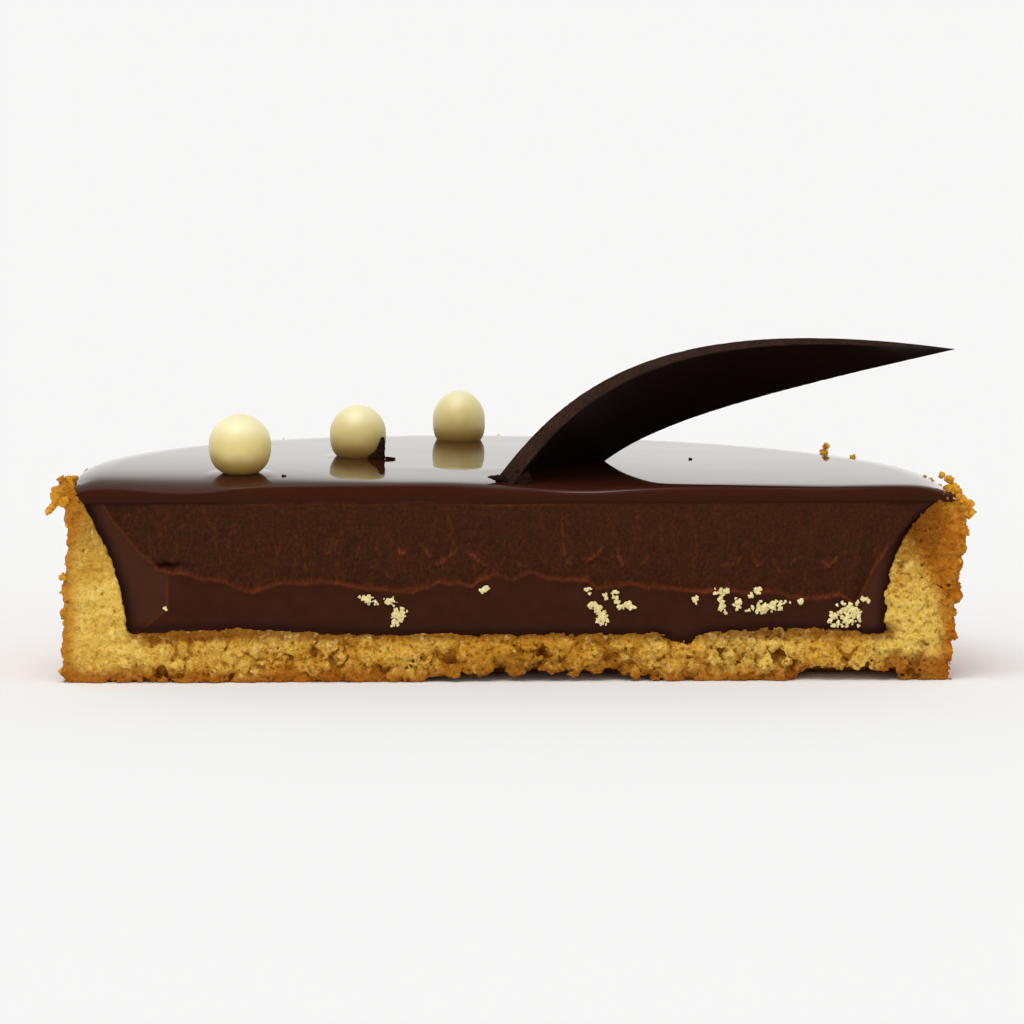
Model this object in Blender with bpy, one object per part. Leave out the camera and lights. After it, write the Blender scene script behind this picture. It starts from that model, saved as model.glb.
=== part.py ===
"""Half of a round chocolate tartlet, cut through its middle, as seven separate solids.

Sizes are named in millimetres and turned into metres where a mesh is made. +Z is up, the cut face
looks along -Y, and the origin is the middle of the tartlet's footprint on the surface it stands on.
"""
import math

import bmesh
import bpy
from mathutils import Vector

MM = 0.001
GAP = 0.25                 # clearance kept between neighbouring pieces
SLOPE_GAP = 0.4            # the same, measured level where the shell's wall leans

# Pastry shell, baked in an 80 mm ring
SHELL_RADIUS = 39.4        # outer radius at mid height
FOOT_ROUNDING = 0.6        # how far the foot's corner is rounded off
TOP_FLARE = 0.35           # the wall leans out by this much towards the rim
RIM_HEIGHT = 17.4
RIM_WIDTH = 1.1
FLOOR_HEIGHT = 4.1
HOLLOW_FOOT_RADIUS = 33.5  # inner radius at the floor
HOLLOW_RIM_RADIUS = 38.65  # inner radius at the rim
HOLLOW_SHIFT = 0.4         # the wall's foot is thicker at +X and thinner at -X
FLARE_POWER = 2.3          # how late the inner wall opens out
FLARE_POWER_SWING = 0.6    # later at +X, sooner at -X
ROLLED_UNEVENNESS = 0.18   # waviness of the hand-lined wall and rim
HALF_TURN_STEPS = 56

# Chocolate layers
GANACHE_TOP = 15.6
GANACHE_CORNER = 0.6       # rounding where the ganache meets the floor
GLAZE_BOTTOM = GANACHE_TOP + GAP
GLAZE_TOP = 18.1
GLAZE_EDGE_DROP = 0.6      # the glaze rounds off by this much where it meets the wall
LIP_DROP = 1.1             # the knife drew the glaze down by this much at the cut face
LIP_REACH = 7.0            # and bent it over this far behind the cut
LIP_POWER = 1.7            # 2 would be a plain ellipse
LIP_STEPS = 9
LEAN = 0.0004              # heights shrink by this share for each millimetre towards +X

# The knife dragged the upper part of the ganache back and left a wavy ledge
LEDGE_HEIGHT = 9.4
LEDGE_WAVE = 0.35
LEDGE_DEPTH = 0.35
LEDGE_HALF_LENGTH = 31.0
LEDGE_STEPS = 40

# Two shallow hollows where the crust's underside doesn't touch the surface: centre x, half length
UNDERSIDE_HOLLOWS = ((2.6, 13.0), (30.0, 5.2))
HOLLOW_REACH = 5.0         # how far back each hollow runs
HOLLOW_RISE = 0.75

# White chocolate pearls: x, distance behind the cut face, radius, height over width
PEARLS = (
    (-23.9, 4.1, 2.74, 1.00),
    (-13.5, 16.8, 2.54, 1.02),
    (-4.1, 32.6, 2.42, 1.06),
)
PEARL_SINK = 0.40
PEARL_SEGMENTS = 28
PEARL_RINGS = 16

# Curled chocolate shard: a sheet between two edges that meet in a point. Each edge is a cubic
# curve with a foot, two handles and the shared tip, as x, distance behind the cut face, height.
SHARD_TIP = (39.4, 6.0, 28.8)
NEAR_EDGE = ((-1.2, 1.9, 17.5), (5.2, 2.5, 26.5), (13.7, 4.0, 32.5), SHARD_TIP)
FAR_EDGE = ((8.9, 16.0, 17.9), (13.7, 15.0, 21.6), (22.3, 10.0, 24.4), SHARD_TIP)
SHARD_FOOT_THICKNESS = 1.6
SHARD_TIP_THICKNESS = 0.6
SHARD_BULGE = 0.07         # crown of the sheet across its width
CROWN_DIRECTION = (-0.45, 0.20, 0.87)
SHARD_SINK = 0.35
SHARD_ROOT = 0.1           # spare share of its length below the glaze, cut off level afterwards
SHARD_STEPS = 34
SHARD_STRIPS = 6
POINT_CUT = 0.985          # the sheet stops here, just short of the mathematical tip

CUT_Y = -(SHELL_RADIUS + TOP_FLARE) / 2  # the cut face, placed so that the footprint is centred


def clear_scene():
    for item in list(bpy.data.objects):
        bpy.data.objects.remove(item, do_unlink=True)


def make_material(name, colour, roughness):
    material = bpy.data.materials.new(name)
    material.use_nodes = True
    shader = material.node_tree.nodes["Principled BSDF"]
    shader.inputs["Base Color"].default_value = (*colour, 1.0)
    shader.inputs["Roughness"].default_value = roughness
    shader.inputs["Metallic"].default_value = 0.0
    return material


def make_object(name, mesh_data, material=None, sharp_angle=35.0):
    """Turn a bmesh into a named, smooth-shaded object with its faces pointing outwards."""
    bmesh.ops.recalc_face_normals(mesh_data, faces=mesh_data.faces)
    mesh = bpy.data.meshes.new(name)
    mesh_data.to_mesh(mesh)
    mesh_data.free()
    mesh.shade_smooth()
    mesh.set_sharp_from_angle(angle=math.radians(sharp_angle))
    piece = bpy.data.objects.new(name, mesh)
    bpy.context.scene.collection.objects.link(piece)
    if material is not None:
        mesh.materials.append(material)
    return piece


def make_cutter(name, mesh_data):
    cutter = make_object(name, mesh_data)
    cutter.hide_render = True
    cutter.display_type = "WIRE"
    return cutter


def cut(piece, cutter):
    modifier = piece.modifiers.new("Cut " + cutter.name, "BOOLEAN")
    modifier.operation = "DIFFERENCE"
    modifier.solver = "EXACT"
    modifier.object = cutter


def point(x, behind, height):
    """Millimetres to metres, with heights easing down towards +X."""
    return Vector((x * MM, (CUT_Y + behind) * MM, height * (1.0 - LEAN * x) * MM))


def turned_point(radius, angle, height):
    return point(radius * math.cos(angle), radius * math.sin(angle), height)


def half_turn(section):
    """Sweep section(angle), a list of (radius, height) from axis to axis, through half a turn."""
    solid = bmesh.new()
    angles = [math.pi * step / HALF_TURN_STEPS for step in range(HALF_TURN_STEPS + 1)]
    first = section(angles[0])
    bottom = solid.verts.new(turned_point(0.0, 0.0, first[0][1]))
    top = solid.verts.new(turned_point(0.0, 0.0, first[-1][1]))
    columns = []
    for angle in angles:
        inner_points = section(angle)[1:-1]
        ring = [solid.verts.new(turned_point(radius, angle, height)) for radius, height in inner_points]
        columns.append([bottom, *ring, top])
    for here, after in zip(columns, columns[1:]):
        for low in range(len(here) - 1):
            corners = [here[low], here[low + 1], after[low + 1], after[low]]
            solid.faces.new(list(dict.fromkeys(corners)))
    right, left = columns[0], columns[-1]
    solid.faces.new([*right, *reversed(left[1:-1])])
    return solid


def unevenness(angle, phase):
    """A gentle wave round the shell, between about -1 and 1."""
    return 0.6 * math.sin(5.0 * angle + phase) + 0.4 * math.sin(11.0 * angle + 2.3 * phase)


def hollow_radius(height, angle):
    """Inner radius of the shell: nearly upright at the floor, opening out towards the rim."""
    share = min(max((height - FLOOR_HEIGHT) / (RIM_HEIGHT - FLOOR_HEIGHT), 0.0), 1.0)
    foot = HOLLOW_FOOT_RADIUS - HOLLOW_SHIFT * math.cos(angle)
    power = FLARE_POWER + FLARE_POWER_SWING * math.cos(angle)
    return foot + (HOLLOW_RIM_RADIUS - foot) * share ** power


def shell_section(angle):
    wave = ROLLED_UNEVENNESS * unevenness(angle, 0.7)
    rim = RIM_HEIGHT + ROLLED_UNEVENNESS * unevenness(angle, 2.1)
    section = [(0.0, 0.0), (SHELL_RADIUS * 0.5, 0.0), (SHELL_RADIUS - FOOT_ROUNDING, 0.0)]
    wall_heights = (FOOT_ROUNDING, 3.5, 6.5, 9.5, 12.5, 15.0, 16.4)
    for height in wall_heights:
        share = height / RIM_HEIGHT
        section.append((SHELL_RADIUS + TOP_FLARE * share ** 2 + wave * share, height))
    outer = section[-1][0]
    section.append((outer - 0.3 * RIM_WIDTH, rim))
    section.append((max(outer - RIM_WIDTH, HOLLOW_RIM_RADIUS + 0.15), rim - 0.15))
    for height in (16.3, 15.3, 14.2, 12.9, 11.4, 9.6, 7.6, 5.8, 4.7):
        section.append((hollow_radius(height, angle), height))
    foot = hollow_radius(FLOOR_HEIGHT, angle)
    section += [(foot - 0.7, FLOOR_HEIGHT), (foot * 0.5, FLOOR_HEIGHT), (0.0, FLOOR_HEIGHT)]
    return section


def ganache_section(angle):
    floor = FLOOR_HEIGHT + GAP
    section = [(0.0, floor), (HOLLOW_FOOT_RADIUS * 0.5, floor)]
    section.append((hollow_radius(floor, angle) - GAP - 2.0 * GANACHE_CORNER, floor))
    for height in (floor + GANACHE_CORNER, 6.0, 7.6, 9.6, 11.4, 12.9, 14.2, GANACHE_TOP):
        section.append((hollow_radius(height, angle) - SLOPE_GAP, height))
    section += [(HOLLOW_FOOT_RADIUS * 0.5, GANACHE_TOP), (0.0, GANACHE_TOP)]
    return section


def glaze_section(angle):
    section = [(0.0, GLAZE_BOTTOM)]
    edge = hollow_radius(GLAZE_BOTTOM, angle) - SLOPE_GAP
    section.append((edge, GLAZE_BOTTOM))
    section.append((edge + 0.35, GLAZE_BOTTOM + 0.4))
    section.append((edge + 0.35, GLAZE_TOP - GLAZE_EDGE_DROP))
    section.append((edge - 0.25, GLAZE_TOP - 0.3 * GLAZE_EDGE_DROP))
    section.append((edge - 1.6, GLAZE_TOP))
    section.append((0.0, GLAZE_TOP))
    return section


def make_shell(material):
    shell = make_object("crust", half_turn(shell_section), material)
    for number, (middle, half_length) in enumerate(UNDERSIDE_HOLLOWS, start=1):
        dome = bmesh.new()
        bmesh.ops.create_uvsphere(dome, u_segments=20, v_segments=10, radius=1.0)
        for vert in dome.verts:
            across, back, up = vert.co
            vert.co = point(middle + across * half_length, back * HOLLOW_REACH, up * HOLLOW_RISE)
        cut(shell, make_cutter("underside_hollow_%d" % number, dome))
    return shell


def ledge_height(x):
    return LEDGE_HEIGHT + LEDGE_WAVE * (math.sin(0.31 * x + 0.4) + 0.6 * math.sin(0.83 * x))


def make_ganache(material):
    """The filling, with the upper part of its cut face set back above a wavy ledge."""
    ganache = make_object("ganache", half_turn(ganache_section), material)
    scoop = bmesh.new()
    length = 2.0 * LEDGE_HALF_LENGTH
    stations = [-LEDGE_HALF_LENGTH + length * step / LEDGE_STEPS for step in range(LEDGE_STEPS + 1)]
    outline = [point(x, -1.0, ledge_height(x)) for x in stations]
    outline.append(point(LEDGE_HALF_LENGTH + 2.5, -1.0, GANACHE_TOP + 1.0))
    outline.append(point(-LEDGE_HALF_LENGTH - 3.5, -1.0, GANACHE_TOP + 1.0))
    face = solid_face(scoop, outline)
    pushed = bmesh.ops.extrude_face_region(scoop, geom=[face])
    moved = [item for item in pushed["geom"] if isinstance(item, bmesh.types.BMVert)]
    bmesh.ops.translate(scoop, verts=moved, vec=(0.0, (1.0 + LEDGE_DEPTH) * MM, 0.0))
    cut(ganache, make_cutter("ganache_scoop", scoop))
    return ganache


def solid_face(mesh_data, outline):
    return mesh_data.faces.new([mesh_data.verts.new(corner) for corner in outline])


def lip_drop(behind):
    """How far the glaze's top lies below its level at this distance behind the cut face."""
    closeness = min(max(1.0 - behind / LIP_REACH, 0.0), 1.0)
    return LIP_DROP * (1.0 - (1.0 - closeness ** LIP_POWER) ** (1.0 / LIP_POWER))


def lip_plane():
    """Everything above the bent front of the glaze, as a long bar along the cut face."""
    ahead, above, half_length = -1.0, GLAZE_TOP + 1.0, SHELL_RADIUS + 1.0
    outline = [(ahead, above), (ahead, GLAZE_TOP - LIP_DROP)]
    for step in range(LIP_STEPS):
        behind = LIP_REACH * (step / LIP_STEPS) ** 2
        outline.append((behind, GLAZE_TOP - lip_drop(behind)))
    outline.append((LIP_REACH, above))
    bar = bmesh.new()
    ends = []
    for x in (-half_length, half_length):
        ends.append([bar.verts.new(point(x, behind, height)) for behind, height in outline])
    for corner, after in zip(range(len(outline)), [*range(1, len(outline)), 0]):
        bar.faces.new([ends[0][corner], ends[0][after], ends[1][after], ends[1][corner]])
    for end in ends:
        bar.faces.new(end)
    return bar


def make_glaze(material):
    """The thin mirror glaze, bent down towards the cut, with dimples for what lies on it."""
    glaze = make_object("glaze", half_turn(glaze_section), material)
    cut(glaze, make_cutter("glaze_front", lip_plane()))
    for number, pearl in enumerate(PEARLS, start=1):
        cut(glaze, make_cutter("pearl_dimple_%d" % number, pearl_ball(*pearl, grow=GAP)))
    cut(glaze, make_cutter("shard_slot", shard_sheet(GAP)))
    return glaze


def pearl_ball(x, behind, radius, stretch, grow=0.0):
    ball = bmesh.new()
    bmesh.ops.create_uvsphere(
        ball, u_segments=PEARL_SEGMENTS, v_segments=PEARL_RINGS, radius=(radius + grow) * MM)
    middle = point(x, behind, GLAZE_TOP - lip_drop(behind))
    middle.z += (radius * stretch - PEARL_SINK) * MM
    for vert in ball.verts:
        vert.co.z *= stretch
        vert.co += middle
    return ball


def edge_points(handles, share_list):
    """Points on a cubic edge at the given shares of its parameter, which may run below 0."""
    foot, first, second, tip = [Vector(handle) for handle in handles]
    points = []
    for share in share_list:
        rest = 1.0 - share
        points.append(foot * rest ** 3 + first * 3.0 * rest ** 2 * share
                      + second * 3.0 * rest * share ** 2 + tip * share ** 3)
    return points


def shard_sheet(clearance=0.0):
    """The curled sheet, thick at its foot and thin at its tip, cut off level just inside the glaze."""
    length = POINT_CUT + SHARD_ROOT
    shares = [length * step / SHARD_STEPS - SHARD_ROOT for step in range(SHARD_STEPS + 1)]
    near, far = edge_points(NEAR_EDGE, shares), edge_points(FAR_EDGE, shares)
    outer = []
    for front, back in zip(near, far):
        across = back - front
        width = across.length
        widen = across.normalized() * clearance
        row = []
        for strip in range(SHARD_STRIPS + 1):
            share = strip / SHARD_STRIPS
            crown = Vector(CROWN_DIRECTION) * (SHARD_BULGE * width * 4.0 * share * (1.0 - share))
            row.append(front - widen + (across + 2.0 * widen) * share + crown)
        outer.append(row)

    sheet = bmesh.new()
    top_rows, under_rows = [], []
    last = len(outer) - 1
    for index, row in enumerate(outer):
        before, after = outer[max(index - 1, 0)], outer[min(index + 1, last)]
        along_share = max(shares[index], 0.0)
        thickness = SHARD_FOOT_THICKNESS + (SHARD_TIP_THICKNESS - SHARD_FOOT_THICKNESS) * along_share
        normal = (after[0] - before[0]).cross(row[-1] - row[0]).normalized()
        top_rows.append([sheet.verts.new(point(*(spot + normal * clearance))) for spot in row])
        below = normal * (thickness + clearance)
        under_rows.append([sheet.verts.new(point(*(spot - below))) for spot in row])
    for rows in (top_rows, under_rows):
        for here, after in zip(rows, rows[1:]):
            for strip in range(SHARD_STRIPS):
                sheet.faces.new([here[strip], here[strip + 1], after[strip + 1], after[strip]])
    for side in (0, SHARD_STRIPS):
        for index in range(last):
            sheet.faces.new([top_rows[index][side], top_rows[index + 1][side],
                             under_rows[index + 1][side], under_rows[index][side]])
    for index in (0, last):
        for strip in range(SHARD_STRIPS):
            sheet.faces.new([top_rows[index][strip], top_rows[index][strip + 1],
                             under_rows[index][strip + 1], under_rows[index][strip]])
    bmesh.ops.recalc_face_normals(sheet, faces=sheet.faces)

    level = point(4.0, 0.0, GLAZE_TOP - SHARD_SINK - clearance)
    everything = [*sheet.verts, *sheet.edges, *sheet.faces]
    sliced = bmesh.ops.bisect_plane(
        sheet, geom=everything, plane_co=level, plane_no=(LEAN * GLAZE_TOP, 0.0, 1.0), clear_inner=True)
    rim = [item for item in sliced["geom_cut"] if isinstance(item, bmesh.types.BMEdge)]
    bmesh.ops.edgeloop_fill(sheet, edges=rim)
    return sheet


def build():
    clear_scene()
    pastry = make_material("baked_pastry", (0.56, 0.34, 0.12), 0.85)
    filling = make_material("dark_ganache", (0.045, 0.016, 0.009), 0.55)
    mirror = make_material("mirror_glaze", (0.03, 0.009, 0.006), 0.08)
    cream = make_material("white_chocolate", (0.80, 0.69, 0.38), 0.30)
    dark = make_material("dark_chocolate", (0.035, 0.016, 0.010), 0.35)
    make_shell(pastry)
    make_ganache(filling)
    make_glaze(mirror)
    for number, pearl in enumerate(PEARLS, start=1):
        make_object("pearl_%d" % number, pearl_ball(*pearl), cream)
    make_object("shard", shard_sheet(), dark)


build()
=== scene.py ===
"""Looks of the cut half of a chocolate tartlet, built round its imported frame.

Lengths are in millimetres and MM turns them into metres. x runs along the cut face, "behind" is the
distance behind the cut face and z the height above the surface that the tartlet stands on.
"""
import math

import bmesh
import bpy
import numpy as np
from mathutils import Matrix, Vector, noise


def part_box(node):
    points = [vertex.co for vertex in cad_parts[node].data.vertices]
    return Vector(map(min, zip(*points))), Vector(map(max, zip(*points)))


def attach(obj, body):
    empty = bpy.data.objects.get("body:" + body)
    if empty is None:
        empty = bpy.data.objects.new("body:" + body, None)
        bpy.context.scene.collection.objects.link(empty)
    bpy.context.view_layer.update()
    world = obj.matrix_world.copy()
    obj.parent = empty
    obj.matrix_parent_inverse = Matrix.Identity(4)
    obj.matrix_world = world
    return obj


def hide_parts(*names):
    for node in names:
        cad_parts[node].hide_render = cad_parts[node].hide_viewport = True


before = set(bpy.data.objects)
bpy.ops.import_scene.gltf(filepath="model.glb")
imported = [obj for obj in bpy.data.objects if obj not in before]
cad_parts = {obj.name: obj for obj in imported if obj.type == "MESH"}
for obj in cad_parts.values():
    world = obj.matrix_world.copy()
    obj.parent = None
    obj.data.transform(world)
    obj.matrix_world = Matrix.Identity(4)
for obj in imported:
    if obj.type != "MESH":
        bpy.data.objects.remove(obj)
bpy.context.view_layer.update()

MM = 0.001
CUT_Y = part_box("crust")[0].y / MM
LEAN = 0.0004              # heights ease down by this share for each millimetre towards +X

# Pastry shell
SHELL_RADIUS = 39.35
RIM_HEIGHT = 17.35
FLOOR_HEIGHT = 4.1
OVERLAP = 0.1              # the baked wall comes this much further in, so that no gap shows
HOLLOW_FOOT_RADIUS = 33.5
HOLLOW_RIM_RADIUS = 38.6
HOLLOW_SHIFT = 0.4
FLARE_POWER = 2.3
FLARE_POWER_SWING = 0.6
# Rises and dips of the floor along the cut: middle, half width and height
FLOOR_SWELLS = ((-25.0, 14.0, 0.5), (24.0, 9.0, 0.5), (15.1, 2.1, -0.7))
# Hollows under the floor where it stands clear of the surface: middle, half width, where the flat part
# starts, and height
ARCHES = ((2.4, 13.0, 6.0, 1.15), (30.0, 5.6, 3.0, 1.5))

# Chocolate layers
GANACHE_TOP = 15.85
GLAZE_RADIUS = 38.75
GLAZE_LEVEL = 18.2
GLAZE_TILT = 0.014


# ---- node sums


def sign(operation):
    """The method of one sign, and its mirror for a plain number on the left."""
    return (lambda self, other: self.sum(operation, self, other),
            lambda self, other: self.sum(operation, other, self))


class Amount:
    """A number socket that can be used in sums: every sign adds one Math node."""

    __add__, __radd__ = sign("ADD")
    __sub__, __rsub__ = sign("SUBTRACT")
    __mul__, __rmul__ = sign("MULTIPLY")
    __truediv__, __rtruediv__ = sign("DIVIDE")
    __pow__, __rpow__ = sign("POWER")

    def __init__(self, recipe, socket):
        self.recipe = recipe
        self.socket = socket

    def sum(self, operation, *values):
        node = self.recipe.add("ShaderNodeMath", dict(enumerate(values)), operation=operation)
        return Amount(self.recipe, node.outputs[0])

    def __neg__(self):
        return self * -1.0

    def size(self):
        return self.sum("ABSOLUTE", self)

    def most(self, other, blend=0.0):
        if blend:
            return self.sum("SMOOTH_MAX", self, other, blend)
        return self.sum("MAXIMUM", self, other)

    def least(self, other, blend=0.0):
        if blend:
            return self.sum("SMOOTH_MIN", self, other, blend)
        return self.sum("MINIMUM", self, other)

    def held(self):
        """Kept between 0 and 1."""
        return self.most(0.0).least(1.0)

    def ease(self, low, high):
        """0 at low, 1 at high, with soft ends; low may be the larger one."""
        values = {"Value": self, "From Min": low, "From Max": high}
        node = self.recipe.add("ShaderNodeMapRange", values, interpolation_type="SMOOTHSTEP")
        return Amount(self.recipe, node.outputs[0])


class Recipe:
    """Fills one node tree, of a material or of Geometry Nodes."""

    def __init__(self, tree):
        self.tree = tree

    def add(self, kind, values=None, **settings):
        """One node: its settings first, then the values or links of its sockets."""
        node = self.tree.nodes.new(kind)
        for name, setting in settings.items():
            setattr(node, name, setting)
        for key, value in (values or {}).items():
            self.feed(node.inputs[key], value)
        return node

    def feed(self, socket, value):
        if isinstance(value, Amount):
            value = value.socket
        if isinstance(value, bpy.types.NodeSocket):
            self.tree.links.new(value, socket)
        else:
            socket.default_value = value

    def vector(self, operation, place, other):
        """One Vector Math node: other is a number for SCALE and a vector for the rest."""
        key = "Scale" if operation == "SCALE" else 1
        return self.add("ShaderNodeVectorMath", {0: place, key: other}, operation=operation).outputs[0]

    def parts(self, place):
        """The three amounts in a vector socket."""
        return [Amount(self, part) for part in self.add("ShaderNodeSeparateXYZ", {0: place}).outputs]

    def millimetres(self, place):
        """A position socket in millimetres, with its three parts."""
        scaled = self.vector("SCALE", place, 1.0 / MM)
        return scaled, *self.parts(scaled)

    def moved(self, place, seed):
        """A place shifted so that each seed reads another part of a pattern."""
        return self.vector("ADD", place, (seed * 17.3, seed * -9.1, seed * 5.7))

    def clouds(self, place, scale, detail=2.0, seed=0.0):
        """Soft noise, about -1 to 1."""
        values = {"Vector": self.moved(place, seed), "Scale": scale, "Detail": detail}
        return (Amount(self, self.add("ShaderNodeTexNoise", values).outputs[0]) - 0.5) * 3.0

    def cells(self, place, scale, seed=0.0, distance="EUCLIDEAN"):
        """Distance to the nearest of scattered points, in units of the cell size."""
        values = {"Vector": self.moved(place, seed), "Scale": scale}
        return Amount(self, self.add("ShaderNodeTexVoronoi", values, distance=distance).outputs[0])

    def mix(self, share, first, second):
        """Blend two colours, each a colour tuple or a colour socket."""
        node = self.add("ShaderNodeMix", {"Factor": share}, data_type="RGBA")
        for name, colour in (("A", first), ("B", second)):
            socket = next(s for s in node.inputs if s.name == name and s.type == "RGBA")
            self.feed(socket, (*colour, 1.0) if isinstance(colour, tuple) else colour)
        return next(s for s in node.outputs if s.type == "RGBA")

    def attribute(self, name):
        return Amount(self, self.add("ShaderNodeAttribute", attribute_name=name).outputs["Fac"])


# ---- mesh helpers


def put(name, data):
    """Add an object to the scene, at the origin."""
    thing = bpy.data.objects.new(name, data)
    bpy.context.scene.collection.objects.link(thing)
    return thing


def link_piece(name, mesh, material, replaced=()):
    """Put a finished mesh, already in its place, into the scene as one piece of the tartlet."""
    piece = put(name, mesh)
    mesh.materials.clear()
    mesh.materials.append(material)
    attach(piece, "root")
    if replaced:
        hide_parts(*replaced)
    return piece


def solid_mesh(name, points, faces):
    """A smooth-shaded closed mesh from points in millimetres, faces turned outwards."""
    mesh = bpy.data.meshes.new(name)
    mesh.from_pydata([tuple(spot) for spot in np.asarray(points) * MM], [], faces)
    work = bmesh.new()
    work.from_mesh(mesh)
    bmesh.ops.recalc_face_normals(work, faces=work.faces)
    if work.calc_volume(signed=True) < 0.0:
        bmesh.ops.reverse_faces(work, faces=work.faces)
    work.to_mesh(mesh)
    work.free()
    mesh.shade_smooth()
    mesh.set_sharp_from_angle(angle=math.radians(50.0))
    return mesh


def store(mesh, name, values):
    """Keep one number for each point of the mesh, for the materials to read."""
    layer = mesh.attributes.new(name, "FLOAT", "POINT")
    layer.data.foreach_set("value", np.asarray(values, dtype=np.float32))


def grid_faces(rows, columns, start=0, closed=False):
    """Quads of a grid of points stored row by row; closed joins the last column to the first."""
    faces = []
    span = columns if closed else columns - 1
    for row in range(rows - 1):
        for column in range(span):
            after = (column + 1) % columns
            low, high = start + row * columns, start + (row + 1) * columns
            faces.append((low + column, low + after, high + after, high + column))
    return faces


def ease(value, low, high):
    """0 at low, 1 at high, with soft ends, on numbers and arrays; low may be the larger one."""
    share = held((value - low) / (high - low))
    return share * share * (3.0 - 2.0 * share)


def held(value):
    """Kept between 0 and 1."""
    return np.clip(value, 0.0, 1.0)


def hump(value, middle, half_width):
    """1 at the middle, falling off like a bell."""
    return np.exp(-((value - middle) / half_width) ** 2)


def dome(value, middle, half_width):
    """1 at the middle, easing to 0 at the half width."""
    return ease(np.abs(value - middle), half_width, 0.0)


def waves(x, y, scale_x, scale_y, seed=0.0):
    """Smooth noise over two arrays of coordinates, about -1 to 1."""
    spots = zip((x * scale_x).ravel(), (y * scale_y).ravel())
    values = [noise.noise((a + 31.7 * seed, b - 17.3 * seed, 5.1 * seed)) for a, b in spots]
    return np.array(values).reshape(np.shape(x))


def hollow_reach(share, side, foot_radius):
    """Inner radius of the shell at a share of its depth, on arrays and on amounts alike."""
    foot = foot_radius - HOLLOW_SHIFT * side
    return foot + (HOLLOW_RIM_RADIUS - foot) * share ** (FLARE_POWER + FLARE_POWER_SWING * side)


def hollow_radius(height, side):
    """Inner radius of the shell at a height; side is -1 at the left end, 1 at the right end."""
    share = held((height - FLOOR_HEIGHT) / (RIM_HEIGHT - FLOOR_HEIGHT))
    return hollow_reach(share, side, HOLLOW_FOOT_RADIUS)


def right_flare(to_right, share):
    """How far the wall leans out towards the right end; share runs from the foot to the rim."""
    return to_right * (1.55 * share - 1.05)


def grown(name, tree, material, replaced, inputs, smallest_island=400):
    """Run a Geometry Nodes tree once and keep its result as a plain piece."""
    holder = put(name + "_grower", bpy.data.meshes.new(name + "_seed"))
    modifier = holder.modifiers.new("Grow", "NODES")
    modifier.node_group = tree
    sockets = {item.name: item.identifier for item in tree.interface.items_tree if item.in_out == "INPUT"}
    for key, value in {**inputs, "Material": material}.items():
        modifier[sockets[key]] = value
    bpy.context.view_layer.update()
    mesh = bpy.data.meshes.new_from_object(holder.evaluated_get(bpy.context.evaluated_depsgraph_get()))
    mesh.name = name
    bpy.data.objects.remove(holder)
    drop_islands(mesh, smallest_island)
    mesh.shade_smooth()
    return link_piece(name, mesh, material, replaced)


def drop_islands(mesh, smallest):
    """Delete loose bits and closed bubbles with fewer corners than this."""
    work = bmesh.new()
    work.from_mesh(mesh)
    seen, doomed = set(), []
    for start in work.verts:
        if start in seen:
            continue
        island, queue = [], [start]
        seen.add(start)
        while queue:
            vert = queue.pop()
            island.append(vert)
            for edge in vert.link_edges:
                other = edge.other_vert(vert)
                if other not in seen:
                    seen.add(other)
                    queue.append(other)
        if len(island) < smallest:
            doomed += island
    bmesh.ops.delete(work, geom=doomed, context="VERTS")
    work.to_mesh(mesh)
    work.free()


# ---- pastry


def new_tree(name, inputs):
    """An empty Geometry Nodes tree with named inputs of (kind, default) and a mesh coming out."""
    tree = bpy.data.node_groups.new(name, "GeometryNodeTree")
    tree.interface.new_socket("Geometry", in_out="INPUT", socket_type="NodeSocketGeometry")
    for label, (kind, default) in inputs.items():
        socket = tree.interface.new_socket(label, in_out="INPUT", socket_type="NodeSocket" + kind)
        if default is not None:
            socket.default_value = default
    tree.interface.new_socket("Geometry", in_out="OUTPUT", socket_type="NodeSocketGeometry")
    recipe = Recipe(tree)
    given = recipe.add("NodeGroupInput")
    return recipe, {label: Amount(recipe, given.outputs[label]) for label in inputs}


def finish_tree(recipe, geometry, material):
    """Instances made real, the material set and the mesh handed out."""
    real = recipe.add("GeometryNodeRealizeInstances", {0: geometry})
    dressed = recipe.add("GeometryNodeSetMaterial", {"Geometry": real.outputs[0], "Material": material})
    recipe.add("NodeGroupOutput", {0: dressed.outputs[0]})


def bump_at(value, middle, half_width):
    """1 at the middle, easing to 0 at the half width."""
    return (value - middle).size().ease(half_width, 0.0)


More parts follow.
